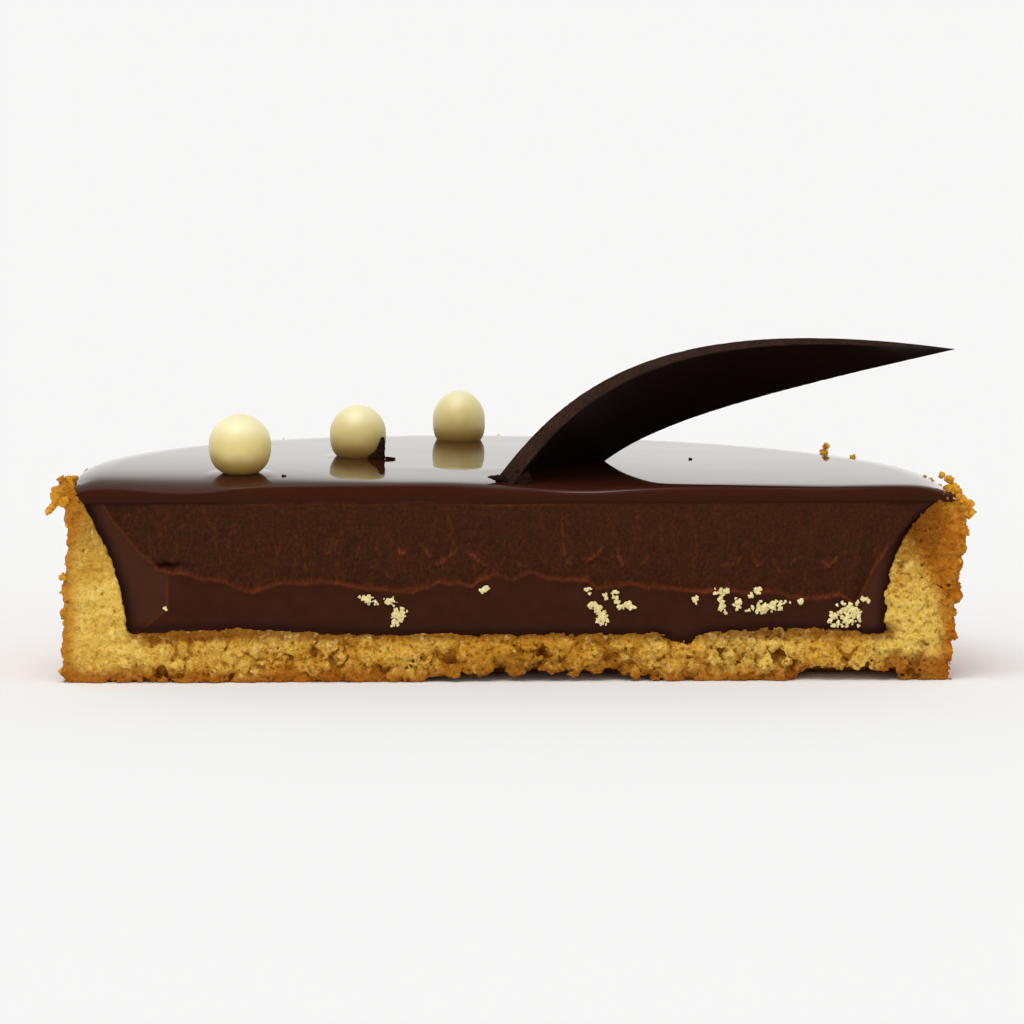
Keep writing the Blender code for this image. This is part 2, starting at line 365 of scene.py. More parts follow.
def pastry_body(recipe, x, behind, z, place):
    """Signed distance to the smooth shell, negative inside, and its coordinates."""
    height = z / (1.0 - LEAN * x)
    radius = (x * x + behind * behind) ** 0.5
    side = x / (radius + 0.01)
    near = behind.ease(6.0, 1.0)
    share = ((height - FLOOR_HEIGHT) / (RIM_HEIGHT - FLOOR_HEIGHT)).held()
    inner = hollow_reach(share, side, HOLLOW_FOOT_RADIUS - OVERLAP)
    unevenness = recipe.clouds(place, 0.13, 1.0, 3.0)
    # the right end flares outwards, the left end is nearly upright with a shallow waist
    to_right = side.ease(-0.2, 1.0)
    waist = 0.55 * near * bump_at(height, 12.2, 4.0) * side.ease(0.0, -0.9)
    flare = right_flare(to_right, height.ease(-4.0, 17.0)) - waist
    outer = radius - SHELL_RADIUS - flare - 0.25 * unevenness
    rim = height - RIM_HEIGHT + 0.55 * to_right + 1.5 * x.ease(37.8, 40.2)
    rim = rim - 0.30 * recipe.clouds(place, 0.3, 2.0, 5.0)
    swell = sum(rise * bump_at(x, middle, half_width) for middle, half_width, rise in FLOOR_SWELLS)
    floor = FLOOR_HEIGHT + near * swell + 0.12 * recipe.clouds(place, 0.3, 1.0, 8.0)
    hollow = (inner - radius).least(height - floor, 0.7)
    arches = sum(rise * (x - middle).size().ease(reach, flat) for middle, reach, flat, rise in ARCHES)
    under = arches * near - z
    body = outer.most(rim, 0.7).most(hollow, 0.25).most(under, 0.5).most(-behind, 0.25)
    return body, height, radius, side


# The block of space in which the shell is grown reaches past it by the margin
BLOCK_MARGIN = 0.8
BLOCK_BOTTOM = -0.5
BLOCK_TOP = 19.0


def pastry_tree():
    """Shortcrust between two distances behind the cut and two places along it, as a closed mesh."""
    inputs = {
        "Voxel": ("Float", 0.2),
        "From": ("Float", 0.0),
        "To": ("Float", 40.0),
        "Left": ("Float", -42.0),
        "Right": ("Float", 42.0),
        "Lump": ("Float", 1.5),
        "Grain": ("Float", 0.38),
        "Material": ("Material", None),
    }
    recipe, given = new_tree("Baked shortcrust", inputs)
    place, x, y, z = recipe.millimetres(recipe.add("GeometryNodeInputPosition").outputs[0])
    behind = y - CUT_Y
    body, height, radius, side = pastry_body(recipe, x, behind, z, place)

    at_cut = behind.ease(2.4, 0.2)
    at_floor = height.ease(4.4, 3.1) * radius.ease(38.0, 34.5)
    at_right = side.ease(0.2, 0.8)
    at_rim = height.ease(15.2, 16.8) * radius.ease(37.6, 38.6) * (0.45 + 0.55 * at_cut)
    at_edge = radius.ease(38.2, 39.2) * at_cut
    lumpiness = 0.14 + at_cut * (0.04 + 0.66 * at_floor + 0.18 * at_right) + 0.40 * at_rim + 0.35 * at_edge
    graininess = 0.24 + at_cut * (0.26 + 0.50 * at_right + 0.60 * at_floor) + 0.15 * at_rim
    soft = recipe.clouds(place, 0.85, 2.0, 11.0)
    lump, grain = given["Lump"], given["Grain"]
    # straight-sided cells, warped a little, make angular lumps and grains
    warp = recipe.add("ShaderNodeTexNoise", {"Vector": place, "Scale": 0.9}).outputs["Color"]
    warped = recipe.vector("ADD", place, warp)
    lump_cell = recipe.cells(warped, 1.0 / lump, 4.0, "MANHATTAN") * 0.68
    grain_cell = recipe.cells(warped, 1.0 / grain, 5.0, "MANHATTAN") * 0.66
    lumps = (lump_cell - 0.55) * lump
    grains = (grain_cell - 0.5) * grain
    # the broken floor is torn along rough, roughly level sheets
    torn = recipe.clouds(recipe.vector("MULTIPLY", place, (0.30, 0.30, 0.75)), 1.0, 2.0, 9.0)
    rough = body + lumpiness * lumps + graininess * grains - (0.10 + 0.22 * lumpiness) * soft
    rough = rough + 0.65 * at_floor * at_cut * (torn.size() * 0.8 - 0.35)
    pores = recipe.cells(place, 0.9, 7.0) / 0.9
    pore_size = 0.13 + 0.14 * soft + at_right * 0.06
    pitted = rough.most((pore_size - pores).least(rough + 0.5), 0.06)
    piece = pitted.most(given["From"] - behind).most(behind - given["To"]).most(-z)
    piece = piece.most(given["Left"] - x).most(x - given["Right"])

    voxel = given["Voxel"]
    low = recipe.add("ShaderNodeCombineXYZ", {
        "X": (given["Left"] - BLOCK_MARGIN) * MM, "Y": (given["From"] + CUT_Y - BLOCK_MARGIN) * MM,
        "Z": BLOCK_BOTTOM * MM})
    high = recipe.add("ShaderNodeCombineXYZ", {
        "X": (given["Right"] + BLOCK_MARGIN) * MM, "Y": (given["To"] + CUT_Y + BLOCK_MARGIN) * MM,
        "Z": BLOCK_TOP * MM})
    volume = recipe.add("GeometryNodeVolumeCube", {
        "Density": 0.5 - piece, "Background": 0.0, "Min": low.outputs[0], "Max": high.outputs[0],
        "Resolution X": (given["Right"] - given["Left"] + 2.0 * BLOCK_MARGIN) / voxel,
        "Resolution Y": (given["To"] - given["From"] + 2.0 * BLOCK_MARGIN) / voxel,
        "Resolution Z": (BLOCK_TOP - BLOCK_BOTTOM) / voxel})
    surface = recipe.add("GeometryNodeVolumeToMesh", {"Volume": volume.outputs[0], "Threshold": 0.5})
    geometry = surface.outputs[0]
    for label, value in (("sunk", -body), ("lump", lump_cell), ("grain", grain_cell)):
        values = {"Geometry": geometry, "Name": label, "Value": value}
        kept = recipe.add("GeometryNodeStoreNamedAttribute", values, data_type="FLOAT", domain="POINT")
        geometry = kept.outputs[0]
    finish_tree(recipe, geometry, given["Material"].socket)
    return recipe.tree


def make_pastry(material):
    """Crumbly shell: a finely detailed slice along the cut, and the rest a little coarser."""
    tree = pastry_tree()
    fine, coarse = ((0.12, 0.30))
    for side, left, right in (("left", -41.5, 0.1), ("right", -0.1, 41.5)):
        span = {"Left": left, "Right": right}
        grown("crust_cut_" + side, tree, material, ("crust",),
              {"Voxel": fine, "From": -1.0, "To": 2.4, **span})
        grown("crust_round_" + side, tree, material, ("crust",),
              {"Voxel": coarse, "From": 2.2, "To": 41.0, **span})


# ---- ganache

# The ledge that the knife left, from the left wall to the right: x and height
LEDGE = (
    (-36.4, 16.2), (-34.6, 13.7), (-32.6, 11.3), (-31.0, 10.1), (-30.2, 9.7), (-28.9, 9.65), (-27.4, 9.2),
    (-25.2, 8.95), (-23.8, 8.2), (-22.4, 8.0), (-20.6, 8.8), (-16.0, 8.8), (-13.6, 8.4), (-8.7, 8.0),
    (-6.4, 8.8), (-3.5, 8.6), (-1.4, 9.65), (0.0, 9.0), (1.6, 9.75), (3.4, 9.1), (6.6, 9.05), (7.4, 8.35),
    (10.4, 8.7), (13.0, 8.35), (16.8, 8.0), (19.0, 8.25), (20.5, 7.8), (22.6, 8.05), (24.8, 7.5),
    (27.0, 7.35), (28.8, 7.8), (30.3, 6.8), (31.2, 8.8), (32.2, 10.6), (33.6, 12.6), (35.6, 14.3),
    (37.4, 15.6),
)
# Curled slivers above the ledge: two ends as x and height, then half width and strength
SLIVERS = (
    (-10.1, 11.9, -9.6, 11.2, 0.2, 0.7), (-9.6, 11.2, -9.1, 11.8, 0.15, 0.5),
    (-7.9, 11.9, -7.1, 11.0, 0.16, 0.7), (-6.6, 10.3, -5.7, 10.8, 0.22, 1.0),
    (-5.5, 11.0, -4.8, 11.8, 0.14, 0.6), (-3.9, 11.4, -2.3, 10.2, 0.17, 1.0),
    (4.35, 14.3, 4.65, 11.0, 0.1, 0.6), (6.3, 10.8, 7.0, 10.8, 0.18, 0.9),
    (7.0, 10.8, 8.0, 11.8, 0.15, 0.9), (9.2, 11.7, 9.8, 10.2, 0.13, 0.7),
    (11.2, 10.0, 12.1, 11.2, 0.12, 0.35), (14.3, 9.8, 14.8, 8.6, 0.12, 0.4),
    (18.4, 10.2, 19.5, 10.3, 0.14, 0.5), (19.5, 10.3, 20.2, 11.0, 0.14, 0.7),
    (21.2, 10.9, 21.6, 10.2, 0.13, 0.6), (21.6, 10.2, 22.1, 10.6, 0.12, 0.5),
    (23.0, 10.8, 23.6, 9.6, 0.13, 0.6), (24.9, 10.9, 24.6, 10.3, 0.12, 0.6),
    (27.3, 10.7, 27.9, 10.1, 0.14, 0.8), (27.9, 10.1, 28.6, 11.0, 0.14, 0.8),
    (4.9, 10.8, 5.2, 10.2, 0.12, 0.4), (0.4, 10.4, 1.0, 10.1, 0.12, 0.35),
    (-27.0, 14.6, -26.0, 13.3, 0.1, 0.35), (-26.0, 13.3, -25.9, 11.0, 0.09, 0.3),
    (-24.6, 13.6, -24.7, 11.5, 0.09, 0.25), (-22.3, 13.0, -20.9, 11.3, 0.09, 0.3),
    (-19.6, 13.4, -20.1, 12.2, 0.1, 0.3), (-15.7, 12.7, -16.0, 11.3, 0.1, 0.3),
    (-13.4, 11.9, -13.6, 11.0, 0.1, 0.35), (-18.2, 12.4, -18.3, 11.0, 0.08, 0.25),
    (33.0, 11.9, 31.6, 9.6, 0.14, 0.7), (-30.7, 13.9, -30.9, 11.4, 0.09, 0.25),
    (-29.0, 14.2, -28.9, 12.6, 0.09, 0.25),
)
GANACHE_COLUMNS = 780
GANACHE_ROWS = 118
GANACHE_BACK_STEPS = 60
TUCK = 0.35                # the filling runs this far into the pastry


def add_slivers(recess, red_highlight, x, z, fine):
    """Raise each curled sliver, with a small groove under it, and give it a painted reddish highlight, in
    both arrays.
    """
    for x1, z1, x2, z2, half_width, strength in SLIVERS:
        length2 = (x2 - x1) ** 2 + (z2 - z1) ** 2
        share = held(((x - x1) * (x2 - x1) + (z - z1) * (z2 - z1)) / length2)
        away_x, away_z = x - x1 - share * (x2 - x1), z - z1 - share * (z2 - z1)
        away = np.hypot(away_x, away_z) + 0.05 * fine
        taper = 1.35 * half_width * (0.55 + 1.8 * share * (1.0 - share))
        recess -= 0.16 * strength * hump(away, 0.0, taper)
        recess += 0.12 * strength * hump(np.hypot(away_x, away_z + 0.28), 0.0, taper * 1.5)
        red_highlight += 0.85 * strength * hump(away, 0.0, taper) * np.clip(0.9 + 0.9 * fine, 0.2, 1.2)


def ganache_relief(x, z):
    """How far the cut filling lies behind the cut plane, and where it is plum, where it has a painted
    reddish highlight and where a dark tint, mostly painted shade.
    """
    wall = np.where(x < 0.0, hollow_radius(z, -1.0), hollow_radius(z, 1.0)) - np.abs(x)
    ledge_x, ledge_z = np.array(LEDGE).T
    ledge = np.interp(x, ledge_x, ledge_z)
    ledge = ledge + 0.16 * waves(x, x, 1.1, 0.0, 1.0) + 0.07 * waves(x, x, 3.7, 0.0, 2.0)
    above = z - ledge
    upper = ease(above, -0.02, 0.16)
    inside = ease(wall, 0.2, 2.4)

    recess = upper * (0.05 + 0.38 * (1.0 - ease(above, 0.4, 6.0))) * inside
    strength = 0.75 + 0.6 * waves(x, x, 0.6, 0.0, 3.0)
    lip = hump(above, -0.12, 0.17) * np.clip(strength, 0.1, 1.4) * ease(wall, 0.8, 2.2)
    recess -= 0.13 * lip
    recess += 0.10 * hump(above, -0.9, 0.7)

    # the knife dragged fine upright streaks through the upper part
    bend = x + 0.35 * waves(x, z, 0.5, 0.5, 7.0)
    streaks = waves(bend, z, 2.6, 0.35, 4.0)
    fine = waves(x, z, 6.5, 2.6, 5.0)
    grain = waves(x, z, 9.0, 7.0, 6.0)
    threads = ease(np.abs(waves(bend, z, 1.5, 0.45, 8.0)), 0.07, 0.0)
    threads *= ease(waves(x, z, 0.9, 0.7, 9.0), 0.0, 0.4) * ease(above, 6.0, 4.0) * ease(x, 34.0, -12.0)
    cut_marks = 0.050 * streaks + 0.035 * fine + 0.025 * grain - 0.05 * threads
    recess += upper * cut_marks * ease(z, 15.8, 14.8)
    smooth = 1.0 - upper
    recess += smooth * (0.05 * waves(x, z, 0.25, 0.5, 9.0) + 0.012 * fine + 0.008 * grain)

    # painted reddish highlight along the lip of the ledge, on the streaks and threads above it and in
    # patches just over the ledge
    red_highlight = 0.7 * hump(above, -0.06, 0.20) * np.clip(strength + 0.4 * fine, 0.0, 1.3) * ease(wall, 0.7, 1.8)
    red_highlight += upper * (0.55 * threads + 0.20 * held(streaks) + 0.22 * fine)
    red_highlight += 0.35 * hump(above, 0.25, 0.3) * held(waves(x, z, 1.6, 1.6, 15.0))
    add_slivers(recess, red_highlight, x, z, fine)

    # a torn hollow beside the left facet, darkened as painted shade, and the facet's own edge, with a
    # painted reddish highlight
    torn = hump(x, -30.2, 1.1) * hump(z, 10.15 + 0.15 * waves(x, x, 2.1, 0.0, 18.0), 0.22)
    recess += 0.55 * torn
    seam_x = np.where(z > 6.4, -30.25, -30.25 - (6.4 - z) * 1.3)
    facet_left = ease(x, seam_x + 0.12, seam_x - 0.12) * smooth
    facet_right = ease(x, 30.5, 30.9) * smooth
    seam = hump(x, seam_x, 0.12) * smooth * ease(z, 9.8, 8.6)
    red_highlight += 0.5 * seam
    recess += 0.24 * facet_left * ease(x, seam_x, -34.5) + 0.20 * facet_right * ease(wall, 2.4, 0.4)

    crease = hump(wall, 0.05, 0.55)
    recess += 0.28 * crease * ease(z, 16.0, 14.5) + 1.1 * ease(wall, 0.0, -TUCK)
    swell = sum(rise * dome(x, middle, half_width) for middle, half_width, rise in FLOOR_SWELLS)
    over = z - FLOOR_HEIGHT - swell
    recess += 0.20 * hump(over, 0.0, 0.45) + 0.9 * ease(over, -0.05, -0.4)
    # painted shade in the crease along the pastry wall, just above the floor and in the torn hollow; along
    # the wall the dark is partly the chocolate that coats the pastry
    dark = held(hump(wall, 0.1, 0.75) + 0.8 * hump(over, 0.2, 0.5) + torn)
    plum = held(facet_left + facet_right) * (1.0 - dark)
    # a faint raised line where the glaze was poured on the filling, with a painted reddish highlight
    joint = 15.62 + 0.16 * waves(x, x, 0.22, 0.0, 16.0)
    shown = ease(np.abs(x + 9.0), 17.0, 12.0)
    red_highlight += 0.45 * hump(z, joint, 0.07) * shown * (0.8 + 0.8 * waves(x, x, 0.9, 0.0, 17.0))
    recess -= 0.04 * hump(z, joint - 0.05, 0.12) * shown
    tints = {"red_highlight": held(red_highlight), "plum": plum, "dark": dark, "upper": upper}
    return recess + 0.03, tints


def make_ganache(material):
    """Cut filling: a dense relief at the front, closed by a plain half round behind it."""
    heights = np.linspace(FLOOR_HEIGHT - 1.35, GANACHE_TOP + 0.15, GANACHE_ROWS)
    across = np.linspace(0.0, 1.0, GANACHE_COLUMNS)
    left = -(hollow_radius(heights, -1.0) + TUCK)
    right = hollow_radius(heights, 1.0) + TUCK
    x = left[:, None] + (right - left)[:, None] * across[None, :]
    z = np.repeat(heights[:, None], GANACHE_COLUMNS, axis=1)
    recess, tints = ganache_relief(x, z)
    front = np.stack([x, CUT_Y + recess, z * (1.0 - LEAN * x)], axis=-1).reshape(-1, 3)

    back = []
    for row, height in enumerate(heights):
        for step in range(1, GANACHE_BACK_STEPS):
            angle = math.pi * (1.0 - step / GANACHE_BACK_STEPS)
            reach = float(hollow_radius(height, math.cos(angle))) + 0.1
            spot_x = reach * math.cos(angle)
            back.append((spot_x, CUT_Y + 0.6 + reach * math.sin(angle), height * (1.0 - LEAN * spot_x)))
    start, ring = len(front), GANACHE_BACK_STEPS - 1
    faces = grid_faces(GANACHE_ROWS, GANACHE_COLUMNS)
    faces += [tuple(reversed(face)) for face in grid_faces(GANACHE_ROWS, ring, start)]
    for row in range(GANACHE_ROWS - 1):
        low, high = row * GANACHE_COLUMNS, (row + 1) * GANACHE_COLUMNS
        back_low, back_high = start + row * ring, start + (row + 1) * ring
        faces.append((low, high, back_high, back_low))
        faces.append((low + GANACHE_COLUMNS - 1, back_low + ring - 1, back_high + ring - 1,
                      high + GANACHE_COLUMNS - 1))
    for row, turn in ((0, 1), (GANACHE_ROWS - 1, -1)):
        front_edge = list(range(row * GANACHE_COLUMNS, (row + 1) * GANACHE_COLUMNS))
        back_edge = list(range(start + row * ring, start + (row + 1) * ring))
        faces.append(tuple((front_edge + back_edge[::-1])[::turn]))
    mesh = solid_mesh("ganache_filling", np.concatenate([front, np.array(back)]), faces)
    for name, values in tints.items():
        store(mesh, name, np.concatenate([values.ravel(), np.zeros(len(back))]))
    return link_piece("ganache_filling", mesh, material, ("ganache",))


# ---- mirror glaze

GLAZE_COLUMNS = 340
GLAZE_ROWS = 170
GLAZE_CUT_ROWS = 12
GLAZE_BOTTOM = 15.8
# Height of the glaze's edge where the knife went through, from the left end to the right end
LIP_LINE = (
    (-38.8, 16.2), (-38.0, 16.9), (-36.0, 17.0), (-33.5, 16.9), (-31.0, 16.6), (-28.3, 16.55),
    (-26.0, 16.65), (-24.6, 16.95), (-22.0, 17.1), (-15.0, 17.2), (-6.0, 17.2), (-1.7, 16.9), (1.6, 16.73),
    (4.2, 16.48), (6.2, 16.38), (8.2, 16.44), (10.6, 16.66), (14.7, 16.86), (18.4, 16.9), (23.5, 16.8),
    (28.0, 16.72), (31.5, 16.88), (34.6, 17.0), (36.6, 16.85), (38.0, 16.3), (38.8, 15.9),
)


# White chocolate pearls: x, distance behind the cut, height of the middle, radius, height over width,
# squareness of the lower half and how far the glaze climbs round the foot
PEARLS = (
    (-23.9, 4.1, 20.59, 2.74, 1.00, 2.5, 0.12),
    (-13.5, 16.8, 20.36, 2.54, 1.02, 2.6, 0.05),
    (-4.1, 32.6, 20.23, 2.42, 1.07, 3.0, 0.0),
)
# How the glaze bends down to the cut, from the left end to the right end: x, then share and reach of the
# sharp bend at the very edge, then share and reach of the softer bend; the rest is one long sag
BENDS = ((-25.0, 0.28, 0.8, 0.40, 3.6), (-10.0, 0.22, 0.32, 0.15, 1.6), (14.0, 0.34, 0.30, 0.04, 1.2))
SAG_REACH = 11.0


def glaze_height(x, behind):
    """Top of the poured glaze: nearly level, sagging to the cut, rounded at the pastry."""
    lip_x, lip_z = np.array(LIP_LINE).T
    lip = np.mean([np.interp(x + shift, lip_x, lip_z) for shift in (-1.2, -0.6, 0.0, 0.6, 1.2)], axis=0)
    level = GLAZE_LEVEL - GLAZE_TILT * x
    bend_x, *bends = np.array(BENDS).T
    sharp, sharp_reach, soft, soft_reach = [np.interp(x, bend_x, values) for values in bends]
    fall = sharp * np.exp(-behind / sharp_reach) + soft * np.exp(-behind / soft_reach)
    fall = fall + (1.0 - sharp - soft) * np.exp(-behind / SAG_REACH)
    rounding = held(1.0 - (GLAZE_RADIUS - np.hypot(x, behind)) / 3.0)
    edge = 1.0 - np.sqrt(held(1.0 - rounding ** 2))
    edge = edge * (0.35 + 0.4 * hump(behind, 0.0, 16.0)) * ease(behind, 0.0, 2.5)
    ripple = 0.016 * waves(x, behind, 0.10, 0.16, 13.0) + 0.04 * hump(x, -5.0, 7.0) * hump(behind, 8.5, 2.2)
    climb = 0.0
    for pearl_x, pearl_behind, *_, meniscus in PEARLS:
        climb = climb + meniscus * np.exp(-(np.hypot(x - pearl_x, behind - pearl_behind) / 2.7) ** 6)
    return level - (level - lip) * fall - edge + ripple + climb


def make_glaze(material):
    """One closed layer: its cut edge, its mirror top and the rim that meets the pastry."""
    columns = np.linspace(-1.0, 1.0, GLAZE_COLUMNS)
    rows = np.linspace(0.0, 1.0, GLAZE_ROWS) ** 2.0
    u, v = np.meshgrid(columns, rows)
    x = GLAZE_RADIUS * u * np.sqrt(1.0 - 0.5 * v ** 2)
    behind = GLAZE_RADIUS * v * np.sqrt(1.0 - 0.5 * u ** 2)
    top = np.stack([x, CUT_Y + behind, glaze_height(x, behind)], axis=-1)

    edge = top[0]
    cut = []
    for row in range(GLAZE_CUT_ROWS, 0, -1):
        share = row / GLAZE_CUT_ROWS
        level = edge[:, 2] + (GLAZE_BOTTOM - edge[:, 2]) * share
        drag = waves(edge[:, 0], level, 0.5, 1.5, 14.0)
        bulge = 0.01 + 0.075 * share + 0.04 * drag * share * (1.0 - share)
        cut.append(np.stack([edge[:, 0], CUT_Y + bulge, level], axis=-1))
    sheet = np.concatenate([np.array(cut), top])
    total_rows = len(sheet)
    points = sheet.reshape(-1, 3)
    faces = grid_faces(total_rows, GLAZE_COLUMNS)

    # the rim: straight down from the top's round edge, then one flat underside
    first_top = GLAZE_CUT_ROWS * GLAZE_COLUMNS
    left = [first_top + row * GLAZE_COLUMNS for row in range(GLAZE_ROWS)]
    right = [first_top + row * GLAZE_COLUMNS + GLAZE_COLUMNS - 1 for row in range(GLAZE_ROWS)]
    far = [first_top + (GLAZE_ROWS - 1) * GLAZE_COLUMNS + column for column in range(1, GLAZE_COLUMNS - 1)]
    border = left + far + right[::-1]
    below = [(points[i][0], points[i][1], GLAZE_BOTTOM) for i in border[1:-1]]
    start = len(points)
    low = [0] + list(range(start, start + len(below))) + [GLAZE_COLUMNS - 1]
    for step in range(1, len(border) - 2):
        faces.append((border[step], border[step + 1], low[step + 1], low[step]))
    for end, line in ((border[1], left), (border[-2], right)):
        column = 0 if line is left else GLAZE_COLUMNS - 1
        upright = [row * GLAZE_COLUMNS + column for row in range(GLAZE_CUT_ROWS + 1)]
        faces.append((*upright, end, low[1] if line is left else low[-2]))
    faces.append(tuple(low[:0:-1]) + tuple(range(0, GLAZE_COLUMNS - 1)))
    mesh = solid_mesh("mirror_glaze_layer", np.concatenate([points, np.array(below)]), faces)
    return link_piece("mirror_glaze_layer", mesh, material, ("glaze",))


# ---- toppings

def make_pearls(material):
    """Slightly lumpy sugar-shell balls, the last one a little taller than wide."""
    for number, (x, behind, height, radius, stretch, square, _) in enumerate(PEARLS, start=1):
        work = bmesh.new()
        bmesh.ops.create_icosphere(work, subdivisions=6, radius=1.0)
        middle = Vector((x, CUT_Y + behind, height))
        for vert in work.verts:
            direction = vert.co.normalized()
            dent = 0.010 * noise.noise(direction * 1.7 + Vector((number * 7.0, 0.0, 0.0)))
            taper = 1.0 - 0.04 * (stretch - 1.0) / 0.07 * direction.z
            reach = 1.0 + dent
            if direction.z < 0.0:
                sideways, down = math.hypot(direction.x, direction.y), -direction.z
                reach *= (sideways ** square + down ** square) ** (-1.0 / square)
            place = direction * radius * reach
            vert.co = (middle + Vector((place.x * taper, place.y * taper, place.z * stretch))) * MM
        mesh = bpy.data.meshes.new("white_pearl_%d" % number)
        work.to_mesh(mesh)
        work.free()
        mesh.shade_smooth()
        link_piece("white_pearl_%d" % number, mesh, material, ("pearl_%d" % number,))


# The shard's two long edges, cubic curves as x, distance behind the cut, height
SHARD_TIP = (39.5, 6.0, 28.75)
NEAR_EDGE = ((-1.5, 1.9, 17.45), (5.2, 2.5, 26.5), (13.7, 4.0, 32.5), SHARD_TIP)
FAR_EDGE = ((8.9, 16.0, 17.9), (13.7, 15.0, 21.6), (22.3, 10.0, 24.4), SHARD_TIP)
SHARD_FOOT_THICKNESS = 1.65
SHARD_TIP_THICKNESS = 0.6
SHARD_BULGE = 0.07
CROWN_DIRECTION = np.array((-0.45, 0.20, 0.87))
SHARD_STEPS = 320
SHARD_STRIPS = 30
EDGE_STRIPS = 10


def cubic(handles, share):
    """Points of a cubic curve with four handles, one for each share of its length."""
    foot, first, second, tip = [np.array(handle) for handle in handles]
    share = share[:, None]
    rest = 1.0 - share
    bow = first * 3 * rest ** 2 * share + second * 3 * rest * share ** 2
    return foot * rest ** 3 + bow + tip * share ** 3


def make_shard(material):
    """Curled sheet of dark chocolate with cleanly cut but chipped edges."""
    shares = np.linspace(-0.05, 0.998, SHARD_STEPS)
    near, far_under = cubic(NEAR_EDGE, shares), cubic(FAR_EDGE, shares)
    length_share = held(shares)
    thickness = SHARD_FOOT_THICKNESS + (SHARD_TIP_THICKNESS - SHARD_FOOT_THICKNESS) * length_share
    thickness = thickness * (1.0 - 0.85 * ease(length_share, 0.90, 1.0))
    normal = np.cross(np.gradient(near, axis=0), far_under - near)
    normal /= np.linalg.norm(normal, axis=1)[:, None]
    if normal[0] @ CROWN_DIRECTION < 0.0:
        normal = -normal
    across = far_under + normal * thickness[:, None] - near
    width = np.linalg.norm(across, axis=1)
    inward = across / width[:, None]

    slim = held(width / 5.0) ** 2
    travel = np.concatenate([[0.0], np.cumsum(np.linalg.norm(np.diff(near, axis=0), axis=1))])

    def side_point(share, depth):
        """Point across the sheet (0 near, 1 far) and down through it (0 outer, 1 under)."""
        crown = CROWN_DIRECTION * (SHARD_BULGE * width * 4.0 * share * (1.0 - share))[:, None]
        return near + across * share + crown - normal * (thickness * depth)[:, None]

    ring, edge_share = [], []
    for strip in range(SHARD_STRIPS + 1):
        ring.append(side_point(strip / SHARD_STRIPS, 0.0))
        edge_share.append(np.zeros(SHARD_STEPS))
    for strip in range(1, EDGE_STRIPS):
        depth = strip / EDGE_STRIPS
        chips = 0.10 * waves(travel, travel * 0 + depth, 1.6, 2.0, 21.0)
        ring.append(side_point(1.0, depth) + inward * (chips * slim)[:, None])
        edge_share.append(np.ones(SHARD_STEPS))
    for strip in range(SHARD_STRIPS + 1):
        ring.append(side_point(1.0 - strip / SHARD_STRIPS, 1.0))
        edge_share.append(np.zeros(SHARD_STEPS))
    for strip in range(1, EDGE_STRIPS):
        depth = 1.0 - strip / EDGE_STRIPS
        scratches = 0.03 * waves(travel, travel * 0 + depth, 1.2, 5.0, 22.0)
        chips = held(waves(travel, travel * 0 + depth * 0.6, 0.9, 1.0, 23.0) - 0.28)
        under_lip = hump(np.array(depth), 0.95, 0.10) * 0.10 * waves(travel, travel, 2.2, 0.0, 24.0)
        roughness = (scratches + 0.5 * chips + under_lip) * slim
        ring.append(side_point(0.0, depth) + inward * roughness[:, None])
        edge_share.append(np.ones(SHARD_STEPS))
    ring = np.array(ring)
    columns = len(ring)
    # chipped corners where the outer and the under face meet the near cut
    for column in (0, SHARD_STRIPS, SHARD_STRIPS + EDGE_STRIPS, 2 * SHARD_STRIPS + EDGE_STRIPS):
        nick = 0.05 + 0.10 * held(waves(travel, travel * 0 + column, 1.9, 1.0, 25.0))
        towards_near = -1.0 if column in (SHARD_STRIPS, SHARD_STRIPS + EDGE_STRIPS) else 1.0
        ring[column] += inward * (towards_near * nick * slim)[:, None]
    points = ring.transpose(1, 0, 2).copy()
    points[..., 1] += CUT_Y
    faces = grid_faces(SHARD_STEPS, columns, closed=True)
    faces.append(tuple(range(columns)))
    faces.append(tuple(range((SHARD_STEPS - 1) * columns, SHARD_STEPS * columns))[::-1])
    mesh = solid_mesh("dark_shard", points.reshape(-1, 3), faces)
    store(mesh, "cut_edge", np.array(edge_share).T.ravel())
    return link_piece("dark_shard", mesh, material, ("shard",))


# ---- crumbs

# Pale crumbs dropped on the cut filling: x, height, width, tallness
FACE_CRUMBS = (
    (-12.5, 7.25, 1.35, 0.75), (-10.7, 7.15, 1.0, 0.7), (-10.0, 5.75, 1.35, 1.6), (-2.5, 8.15, 1.0, 0.5),
    (6.7, 8.05, 0.45, 0.45), (7.3, 6.65, 1.15, 0.75), (8.2, 7.55, 0.35, 0.45), (9.1, 7.5, 0.55, 0.95),
    (7.9, 5.65, 1.0, 1.2), (10.2, 6.65, 1.65, 0.65), (16.1, 7.2, 0.5, 0.7), (18.4, 7.9, 1.1, 0.45),
    (18.4, 6.65, 0.6, 1.45), (19.8, 6.85, 0.6, 1.0), (21.0, 7.55, 0.35, 0.4), (21.7, 8.05, 0.7, 0.7),
    (22.5, 6.55, 2.9, 1.0), (25.4, 7.0, 0.65, 0.3), (29.4, 5.9, 2.6, 2.2), (31.0, 7.2, 0.6, 0.5),
    (-30.4, 6.6, 0.3, 0.25),
)
